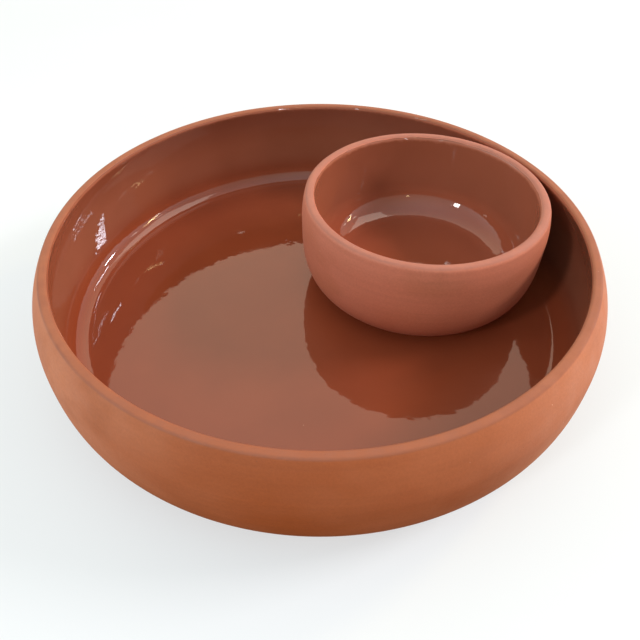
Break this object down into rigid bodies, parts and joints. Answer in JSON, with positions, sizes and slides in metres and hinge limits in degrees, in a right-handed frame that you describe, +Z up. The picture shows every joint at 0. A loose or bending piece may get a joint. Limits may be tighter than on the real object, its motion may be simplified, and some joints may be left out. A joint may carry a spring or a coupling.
{
  "type": "chip and dip server",
  "caption": "Low round terracotta serving bowl with a glossy glazed inside and a small loose dip bowl standing on its floor near the wall.",
  "frame": {"origin": "on the table, at the centre of the chip bowl's foot ring, on that bowl's own axis", "axes": "+Z up along the chip bowl's axis, out of its mouth; +X to the right and +Y away from the person served, so the dip bowl stands to the right and behind"},
  "size_m": [0.305, 0.305, 0.0713],
  "materials": {
    "clay": "matte",
    "glaze": "gloss"
  },
  "bodies": {
    "chip_bowl": {"chip_bowl_clay": "clay", "chip_bowl_glaze": "glaze"},
    "dip_bowl": {"dip_bowl_clay": "clay", "dip_bowl_glaze": "glaze"}
  },
  "joints": [
    {"name": "dip_bowl_lift", "type": "slide", "parent": "chip_bowl", "child": "dip_bowl", "axis": [0, 0, 1], "range_m": [0, 0.12]}
  ]
}
